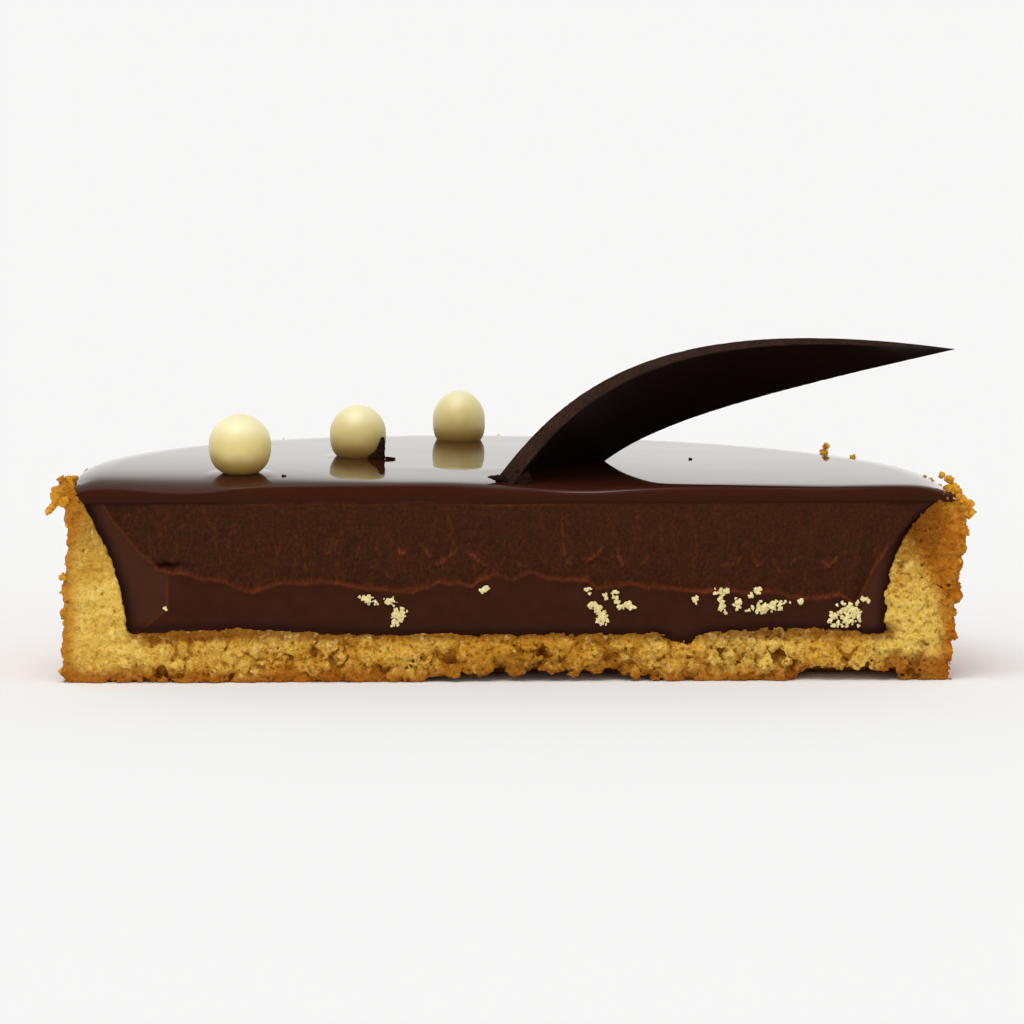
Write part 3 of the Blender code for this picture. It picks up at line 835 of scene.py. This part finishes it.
# Golden crumbs that cling to the two cut corners: x, behind, height, size
CORNER_CRUMBS = (
    (-39.2, 0.5, 17.1, 1.0), (-38.9, 0.7, 17.7, 0.7), (-39.7, 0.5, 16.6, 0.8), (-39.9, 0.5, 16.0, 0.65),
    (-40.3, 0.4, 15.4, 0.55), (-40.7, 0.4, 15.0, 0.4), (-39.3, 0.4, 16.2, 0.9), (-39.2, 1.4, 17.6, 0.5),
    (-38.4, 2.6, 17.8, 0.3), (-39.4, 0.4, 9.3, 0.5), (-38.9, 0.3, 10.9, 0.35), (-39.4, 0.3, 8.0, 0.35),
    (-38.9, 0.4, 13.8, 0.4), (-38.8, 0.4, 12.4, 0.35), (-39.3, 0.3, 6.4, 0.3), (-39.6, 0.3, 1.0, 0.4),
    (37.0, 0.8, 17.6, 0.3), (38.6, 1.6, 17.5, 0.6), (38.1, 3.0, 17.7, 0.5), (38.9, 0.7, 16.7, 0.7),
    (39.5, 0.4, 15.9, 0.7), (40.2, 0.4, 15.4, 0.7), (40.3, 0.4, 14.6, 0.65), (39.8, 0.4, 14.9, 0.6),
    (40.1, 0.4, 13.2, 0.4), (39.7, 0.4, 12.1, 0.4), (39.4, 0.3, 10.6, 0.35), (39.3, 0.3, 7.6, 0.4),
    (29.3, 25.2, 17.7, 0.62), (29.6, 24.9, 18.2, 0.45), (31.8, 21.8, 17.5, 0.42), (-33.0, 19.9, 17.9, 0.42),
    (-20.4, 32.8, 18.0, 0.32), (-0.2, 38.5, 18.0, 0.22), (37.2, 8.6, 17.1, 0.28), (35.2, 15.2, 17.2, 0.26),
)


def crumb_tree():
    """Balls on every given point, melted together and broken into angular grains."""
    inputs = {
        "Points": ("Object", None),
        "Voxel": ("Float", 0.08),
        "Grain": ("Float", 0.3),
        "Roughness": ("Float", 0.22),
        "Material": ("Material", None),
    }
    recipe, given = new_tree("Crumbs", inputs)
    source = recipe.add("GeometryNodeObjectInfo", {"Object": given["Points"].socket})
    points = recipe.add("GeometryNodeMeshToPoints", {"Mesh": source.outputs["Geometry"]})
    size = recipe.add("GeometryNodeInputNamedAttribute", {"Name": "size"}, data_type="FLOAT")
    voxel = given["Voxel"] * MM
    values = {"Points": points.outputs[0], "Voxel Size": voxel, "Radius": size.outputs[0]}
    volume = recipe.add("GeometryNodePointsToVolume", values, resolution_mode="VOXEL_SIZE")
    values = {"Volume": volume.outputs[0], "Voxel Size": voxel, "Threshold": 0.1}
    surface = recipe.add("GeometryNodeVolumeToMesh", values, resolution_mode="VOXEL_SIZE")
    place = recipe.vector("SCALE", recipe.add("GeometryNodeInputPosition").outputs[0], 1.0 / MM)
    grains = -(recipe.cells(place, 1.0 / given["Grain"], 2.0, "MANHATTAN") * 0.66 - 0.45)
    lumps = recipe.clouds(place, 2.2, 2.0, 3.0)
    push = (given["Roughness"] * grains + 0.25 * given["Roughness"] * lumps) * MM
    normal = recipe.add("GeometryNodeInputNormal").outputs[0]
    shift = recipe.vector("SCALE", normal, push)
    moved = recipe.add("GeometryNodeSetPosition", {"Geometry": surface.outputs[0], "Offset": shift})
    finish_tree(recipe, moved.outputs[0], given["Material"].socket)
    return recipe.tree


def scatter_crumbs(name, tree, balls, material, voxel, grain, roughness):
    """One piece of crumbs from balls of (x, distance behind the cut, height, radius)."""
    balls = np.array(balls)
    spots = balls[:, :3] + np.array((0.0, CUT_Y, 0.0))
    mesh = bpy.data.meshes.new(name + "_spots")
    mesh.from_pydata([tuple(spot) for spot in spots * MM], [], [])
    store(mesh, "size", balls[:, 3] * MM)
    cloud = put(name + "_spots", mesh)
    grown(name, tree, material, (), {
        "Points": cloud, "Voxel": voxel, "Grain": grain, "Roughness": roughness}, smallest_island=12)
    bpy.data.objects.remove(cloud)


# Broken bits at the foot of the shard: x, behind, height over the glaze, radius
FOOT_BITS = (
    (-2.0, 1.7, 0.42, 0.1), (-1.8, 1.7, 0.4, 0.16), (-1.5, 1.8, 0.36, 0.25), (-1.2, 1.8, 0.3, 0.33),
    (-0.8, 1.9, 0.3, 0.42), (-0.3, 1.8, 0.12, 0.42), (0.2, 1.7, 0.1, 0.46), (0.7, 1.6, 0.25, 0.54),
    (1.1, 1.6, 0.15, 0.5), (1.3, 1.6, 0.62, 0.4), (1.6, 1.7, 0.2, 0.32), (0.6, 1.7, 0.9, 0.42),
    (0.4, 1.8, 0.5, 0.5), (0.9, 1.4, -0.1, 0.45),
)
# Dark specks and a sliver lying on the glaze, and a smear on the second pearl
DARK_BITS = (
    (-20.1, 3.1, 0.02, 0.13), (-19.9, 3.1, 0.02, 0.1), (16.6, 17.5, 0.03, 0.13), (16.75, 17.5, 0.03, 0.1),
    (-12.3, 14.9, 0.1, 0.28), (-11.9, 15.0, 0.2, 0.44), (-11.5, 15.0, 0.2, 0.46), (-11.5, 15.0, 0.6, 0.42),
    (-11.4, 15.1, 0.95, 0.36), (-11.35, 15.1, 1.25, 0.3), (-11.3, 15.2, 1.55, 0.24),
    (-11.28, 15.2, 1.8, 0.18), (-10.9, 14.9, 0.1, 0.16), (-10.8, 14.9, 0.1, 0.15), (-10.7, 14.9, 0.1, 0.14),
    (-10.6, 14.9, 0.09, 0.13), (-10.5, 14.9, 0.09, 0.12), (-10.4, 14.9, 0.08, 0.11),
    (-10.3, 14.9, 0.08, 0.1), (-10.2, 14.9, 0.08, 0.09),
)


def make_crumbs(pale, golden, broken):
    """Every loose bit: the dark ones, the pale ones on the cut and the golden ones on the crust."""
    tree = crumb_tree()
    draw = np.random.default_rng(11)
    for name, bits, roughness in (("shard_foot_bits", FOOT_BITS, 0.10), ("dark_bits", DARK_BITS, 0.03)):
        balls = [(x, behind, float(glaze_height(np.array(x), np.array(behind))) + height, size)
                 for x, behind, height, size in bits]
        scatter_crumbs(name, tree, balls, broken, 0.05, 0.45, roughness)

    # each crumb on the filling is a small ragged heap of grains
    balls = []
    for x, z, width, tallness in FACE_CRUMBS:
        count = int(6 + 20 * width * tallness)
        lean = draw.uniform(-0.5, 0.5)
        for _ in range(count):
            side, up = np.clip(draw.normal(0.0, 0.27, 2), -0.5, 0.5)
            size = draw.uniform(0.08, 0.21) * min(1.0, 0.6 + 0.4 * math.sqrt(width * tallness))
            balls.append((x + side * width + lean * up * width, 0.03 - 1.3 * size * draw.random(),
                          z + up * tallness, size))
    scatter_crumbs("face_crumbs", tree, balls, pale, 0.045, 0.22, 0.24)

    balls = []
    for x, behind, z, size in CORNER_CRUMBS:
        for _ in range(7):
            nudge = draw.normal(0.0, 0.24, 3) * size
            balls.append((x + nudge[0], behind + nudge[1], z + nudge[2], size * draw.uniform(0.32, 0.55)))
    scatter_crumbs("corner_crumbs", tree, balls, golden, 0.07, 0.34, 0.26)

    # fine crumbs along the rim and down the outer wall
    balls = []
    for _ in range(360):
        angle, reach = draw.uniform(0.0, math.pi), draw.uniform(38.7, 39.7)
        size = 0.16 + 0.28 * draw.random() ** 2.5
        level = RIM_HEIGHT - draw.uniform(0.15, 0.5) - 0.7 * ease(math.cos(angle), -0.2, 1.0)
        balls.append((reach * math.cos(angle), reach * math.sin(angle), level, size))
    for _ in range(240):
        angle, height = draw.uniform(0.0, math.pi), draw.uniform(0.5, 17.0)
        size = 0.14 + 0.26 * draw.random() ** 2.5
        flare = right_flare(ease(math.cos(angle), -0.2, 1.0), ease(height, -4.0, 17.0))
        reach = SHELL_RADIUS - 0.1 + flare
        balls.append((reach * math.cos(angle), reach * math.sin(angle), height, size))
    scatter_crumbs("rim_crumbs", tree, balls, golden, 0.11, 0.4, 0.16)


# ---- materials


class Finish(Recipe):
    """A new material with one Principled shader, and the piece's own coordinates in millimetres."""

    def __init__(self, name):
        self.material = bpy.data.materials.new(name)
        self.material.use_nodes = True
        super().__init__(self.material.node_tree)
        self.tree.nodes.clear()
        self.shader = self.add("ShaderNodeBsdfPrincipled")
        self.output = self.add("ShaderNodeOutputMaterial", {"Surface": self.shader.outputs[0]})
        own = self.add("ShaderNodeTexCoord").outputs["Object"]
        self.place, self.x, self.y, self.z = self.millimetres(own)

    def fix(self, **constants):
        """Numbers and colours that are the same all over, by socket name with _ for each space."""
        for name, value in constants.items():
            self.shader.inputs[name.replace("_", " ")].default_value = value

    def complete(self, colour, roughness, relief=None, strength=0.0, depth=0.0):
        """Feed the shader its colour, roughness and relief, whose depth is in millimetres."""
        self.feed(self.shader.inputs["Base Color"], colour)
        self.feed(self.shader.inputs["Roughness"], roughness)
        if relief:
            values = {"Strength": strength, "Distance": depth * MM, "Height": relief}
            self.feed(self.shader.inputs["Normal"], self.add("ShaderNodeBump", values).outputs[0])
        return self.material


def pastry_material():
    recipe = Finish("baked shortcrust")
    place, x, z = recipe.place, recipe.x, recipe.z
    behind = recipe.y - CUT_Y
    radius = (x * x + behind * behind) ** 0.5
    sunk = recipe.attribute("sunk")
    blotches = recipe.clouds(place, 0.35, 2.0, 1.0)
    grains = recipe.clouds(place, 1.9, 3.0, 2.0)
    at_right, at_left = x.ease(30.0, 35.0), x.ease(-30.0, -34.0)
    at_floor = z.ease(5.4, 4.0) * (1.0 - at_right) * (1.0 - at_left)

    pale, golden = (0.84, 0.560, 0.112), (0.64, 0.300, 0.026)
    amber, brown, deep_shade_colour = (0.44, 0.130, 0.006), (0.20, 0.056, 0.004), (0.060, 0.017, 0.002)
    lump, grain = recipe.attribute("lump"), recipe.attribute("grain")
    ripe = 0.55 + 0.40 * blotches + 0.35 * grains - 0.20 * at_floor + 0.28 * at_left
    ripe = ripe - 0.2 * z.ease(7.0, 12.0)
    # the floor is palest to the right of its middle, and so is the low part of the right wall; the middle of
    # the floor, over the arch under it, is darkened with painted shade
    ripe = ripe + at_floor * (0.5 * bump_at(x, 21.0, 7.0) - 0.75 * bump_at(x, 1.5, 12.0))
    ripe = ripe + 0.6 * at_right * z.ease(9.0, 6.0)
    # painted highlight on the tops of the lumps and grains, painted shade at their edges
    ripe = ripe + (0.5 - lump) * (0.2 + 0.7 * at_floor) + (0.45 - grain) * 0.5
    colour = recipe.mix(ripe.held(), golden, pale)
    # the oven browned the outside, deeper at the right end and near the rim
    band = 0.8 + at_right * (0.8 + 2.7 * z.ease(5.0, 15.0)) + 1.4 * z.ease(10.0, 16.0)
    outside = (radius + 0.55 * blotches + 0.45 * grains - 39.3 + band).ease(-0.8, 0.8)
    skin = recipe.mix((0.45 + 0.5 * blotches + 0.5 * grains - at_right * 0.15).held(),
                      amber, (0.66, 0.325, 0.040))
    colour = recipe.mix(outside, colour, skin)
    near_filling = z.ease(8.5, 13.5) * radius.ease(39.2, 36.9) * (0.55 + 0.45 * at_right)
    colour = recipe.mix((near_filling * (0.85 + 0.4 * blotches)).least(1.0), colour, brown)
    foot = (z - 1.3 * at_right + 0.8 * blotches + 0.5 * grains).ease(1.9, 0.2)
    colour = recipe.mix(foot * 0.9, colour, (0.36, 0.100, 0.005))
    # painted shade: browner low on the floor over the middle arch, where the floor stands clear of the
    # surface
    baked = bump_at(x, 1.5, 13.0) * (z + 0.5 * blotches).ease(3.4, 1.4)
    colour = recipe.mix(baked * 0.65, colour, (0.27, 0.100, 0.008))
    # painted shade along the joint where the filling meets the top of the floor
    joint_shade = (z + 0.3 * grains).ease(3.2, 4.2) * z.ease(5.6, 4.6) * radius.ease(34.4, 33.0)
    colour = recipe.mix(joint_shade * 0.85, colour, brown)
    # painted shade: brown in the creases between the lumps and between the grains
    crease = (lump + 0.25 * grains).ease(0.62, 0.92) * (0.15 + 0.85 * at_floor)
    grain_gap_shade = (grain + 0.15 * grains).ease(0.55, 0.85) * (0.25 + 0.35 * at_right + 0.30 * at_floor)
    colour = recipe.mix(crease.most(grain_gap_shade) * 0.85, colour, (0.26, 0.080, 0.006))
    # painted shade, deepening to near black, the further the surface lies sunk below the smooth shell
    recess_shade = (sunk + 0.10 * grains).ease(0.10, 0.70)
    colour = recipe.mix(recess_shade * 0.85, colour, brown)
    deep_recess_shade = (sunk + 0.15 * grains).ease(0.50, 1.0)
    colour = recipe.mix(deep_recess_shade * 0.85, colour, deep_shade_colour)
    # pale flecks as painted highlights, and small dark pits as painted shade
    highlight_flecks = (recipe.clouds(place, 1.8, 2.0, 12.0) + 0.3 * blotches).ease(0.15, 0.85) * (1.0 - recess_shade)
    colour = recipe.mix(highlight_flecks * (1.0 - outside) * (1.0 - foot) * 0.50, colour, (0.92, 0.70, 0.24))
    pit_shade = recipe.clouds(place, 1.6, 3.0, 14.0).ease(-0.20, -0.80)
    colour = recipe.mix(pit_shade * (0.35 + 0.3 * at_right + 0.25 * at_floor), colour, (0.27, 0.085, 0.006))
    # tiny dark dots, painted shade of pits too small to build
    specks = recipe.cells(place, 1.2, 6.0).ease(0.30, 0.12) * (0.3 + 0.25 * at_right + 0.3 * at_floor)
    colour = recipe.mix(specks * behind.ease(2.0, 0.5), colour, (0.130, 0.040, 0.004))
    recipe.fix(Specular_IOR_Level=0.05)
    sandy = 0.8 * recipe.clouds(place, 4.0, 4.0, 5.0) - 1.2 * recipe.cells(place, 4.2, 9.0)
    return recipe.complete(colour, 0.72 + 0.12 * grains, sandy, 1.0, 0.11)


def crumb_material(name, light, shade):
    recipe = Finish(name)
    recipe.fix(Specular_IOR_Level=0.05)
    blend = (0.5 + 0.5 * recipe.clouds(recipe.place, 1.6, 3.0, 1.0)).held()
    roughness = 0.7 + 0.1 * recipe.clouds(recipe.place, 5.0, 2.0, 2.0)
    relief = recipe.clouds(recipe.place, 8.0, 2.0, 3.0)
    return recipe.complete(recipe.mix(blend, shade, light), roughness, relief, 0.5, 0.05)


def ganache_material():
    recipe = Finish("cut ganache")
    recipe.fix(Specular_IOR_Level=0.03)
    place = recipe.place
    red_highlight, plum, dark, upper = [recipe.attribute(name) for name in ("red_highlight", "plum", "dark", "upper")]
    mottle = recipe.clouds(place, 0.8, 3.0, 1.0)
    specks = recipe.clouds(place, 3.5, 2.0, 2.0)
    lower_tone = recipe.mix((0.5 + 0.5 * mottle).held(),
                            (0.033, 0.0092, 0.0040), (0.044, 0.0130, 0.0060))
    upper_tone = recipe.mix((0.5 + 0.6 * specks + 0.2 * mottle).held(),
                            (0.026, 0.0080, 0.0033), (0.052, 0.0165, 0.0068))
    colour = recipe.mix(upper, lower_tone, upper_tone)
    colour = recipe.mix(plum * 0.8, colour, (0.058, 0.0185, 0.0100))
    # painted reddish highlight on the ridge, the slivers, the streaks and the seams
    colour = recipe.mix((red_highlight * (0.75 + 0.5 * specks)).held(), colour, (0.175, 0.036, 0.011))
    # dark tint: painted shade in the creases and the torn hollow, partly the chocolate coating along the
    # pastry wall
    colour = recipe.mix(dark * 0.8, colour, (0.018, 0.006, 0.005))
    relief = recipe.clouds(place, 6.0, 3.0, 4.0)
    return recipe.complete(colour, 0.42 + 0.16 * upper + 0.05 * mottle, relief, 0.25, 0.03)


def glaze_material():
    recipe = Finish("mirror glaze")
    recipe.fix(IOR=1.5)
    tone = recipe.mix((0.5 + 0.5 * recipe.clouds(recipe.place, 0.7, 2.0, 1.0)).held(),
                      (0.042, 0.0092, 0.0042), (0.052, 0.0120, 0.0056))
    material = recipe.complete(tone, 0.045 + 0.015 * recipe.clouds(recipe.place, 0.25, 2.0, 2.0))
    # the knife left the cut edge dull
    cut_tone = recipe.mix(recipe.z.ease(16.0, 16.9), (0.035, 0.0100, 0.0046), (0.045, 0.0098, 0.0040))
    cut_shader = recipe.add("ShaderNodeBsdfPrincipled", {
        "Base Color": cut_tone, "Roughness": 0.4, "Specular IOR Level": 0.03})
    cut = (recipe.y - CUT_Y).ease(0.20, 0.12)
    both = recipe.add("ShaderNodeMixShader", {0: cut, 1: recipe.shader.outputs[0], 2: cut_shader.outputs[0]})
    recipe.feed(recipe.output.inputs["Surface"], both.outputs[0])
    return material


def pearl_material():
    recipe = Finish("white chocolate shell")
    place, z = recipe.place, recipe.z
    recipe.fix(Specular_IOR_Level=1.0, Subsurface_Weight=0.25, Subsurface_Radius=(1.0, 0.75, 0.35),
               Subsurface_Scale=0.5 * MM)
    cloudy = recipe.clouds(place, 0.5, 2.0, 1.0)
    tone = recipe.mix((0.5 + 0.5 * cloudy).held(), (0.68, 0.545, 0.175), (0.72, 0.59, 0.22))
    # painted highlight: whiter towards the top of each pearl
    tone = recipe.mix((z + 0.2 * cloudy).ease(20.6, 23.0) * 0.9, tone, (0.93, 0.87, 0.56))
    # painted shade: darker towards the foot of each pearl, where it sits on the dark glaze
    pearl_foot_shade = (z + 0.25 * cloudy).ease(20.7, 18.5)
    tone = recipe.mix(pearl_foot_shade * 0.85, tone, (0.32, 0.170, 0.020))
    roughness = 0.40 + 0.05 * recipe.clouds(place, 1.5, 2.0, 2.0)
    return recipe.complete(tone, roughness, recipe.clouds(place, 1.4, 2.0, 3.0), 0.2, 0.04)


def shard_material():
    recipe = Finish("tempered dark chocolate")
    recipe.fix(Specular_IOR_Level=0.06)
    edge = recipe.attribute("cut_edge")
    mottle = recipe.clouds(recipe.place, 0.6, 3.0, 1.0)
    specks = recipe.clouds(recipe.place, 4.0, 2.0, 2.0)
    face = recipe.mix((0.5 + 0.4 * mottle).held(), (0.0040, 0.0014, 0.0009), (0.0085, 0.0034, 0.0020))
    rough_cut = recipe.mix((0.45 + 0.5 * specks + 0.45 * mottle).held(),
                           (0.014, 0.0052, 0.0032), (0.048, 0.0200, 0.0130))
    relief = recipe.clouds(recipe.place, 5.0, 3.0, 4.0)
    return recipe.complete(recipe.mix(edge, face, rough_cut), 0.44 + 0.16 * edge + 0.05 * mottle,
                           relief, 0.25, 0.03)


# ---- studio


def make_floor():
    mesh = bpy.data.meshes.new("studio_floor")
    half = 12.0
    mesh.from_pydata([(-half, -half, 0.0), (half, -half, 0.0), (half, half, 0.0), (-half, half, 0.0)],
                     [], [(0, 1, 2, 3)])
    floor = put("studio_floor", mesh)
    material = bpy.data.materials.new("pale paper")
    material.use_nodes = True
    shader = material.node_tree.nodes["Principled BSDF"]
    shader.inputs["Base Color"].default_value = (0.915, 0.915, 0.940, 1.0)
    shader.inputs["Roughness"].default_value = 0.9
    shader.inputs["Specular IOR Level"].default_value = 0.0
    mesh.materials.append(material)


def make_surroundings():
    """A white tent: brightest near the horizon, with a soft window high in front."""
    world = bpy.data.worlds.new("white tent")
    bpy.context.scene.world = world
    world.use_nodes = True
    world.node_tree.nodes.clear()
    recipe = Recipe(world.node_tree)
    direction = recipe.add("ShaderNodeTexCoord").outputs["Generated"]
    across, along, up = recipe.parts(direction)
    towards = 0.90 * up - 0.40 * along - 0.18 * across
    window = towards.ease(0.88, 0.95)
    strength = 0.46 + 0.69 * up.ease(0.68, 0.24) + 2.8 * window
    background = recipe.add("ShaderNodeBackground", {"Color": (1.0, 0.995, 0.965, 1.0)})
    recipe.feed(background.inputs["Strength"], strength)
    recipe.add("ShaderNodeOutputWorld", {"Surface": background.outputs[0]})


def make_camera():
    """Looks along +Y from a little left, just above the glaze's own plane."""
    distance, elevation, azimuth = 500.0, math.radians(6.3), math.radians(1.5)
    target = Vector((0.0, CUT_Y, 15.0)) * MM
    away = Vector((-math.sin(azimuth) * math.cos(elevation), -math.cos(azimuth) * math.cos(elevation),
                   math.sin(elevation)))
    data = bpy.data.cameras.new("camera")
    data.sensor_width = 36.0
    data.lens = 200.4
    data.clip_start, data.clip_end = 0.01, 20.0
    camera = put("camera", data)
    camera.location = target + away * distance * MM
    camera.rotation_euler = (-away).to_track_quat("-Z", "Y").to_euler()
    bpy.context.scene.camera = camera


def build():
    make_camera()
    make_surroundings()
    make_floor()
    make_pastry(pastry_material())
    make_ganache(ganache_material())
    make_glaze(glaze_material())
    make_pearls(pearl_material())
    make_shard(shard_material())
    make_crumbs(crumb_material("pale crumb", (0.95, 0.86, 0.50), (0.74, 0.58, 0.22)),
                crumb_material("golden crumb", (0.78, 0.42, 0.045), (0.54, 0.190, 0.010)),
                crumb_material("broken dark chocolate", (0.022, 0.0075, 0.0048), (0.008, 0.0028, 0.0020)))
    bpy.context.scene.view_settings.view_transform = "Standard"


build()
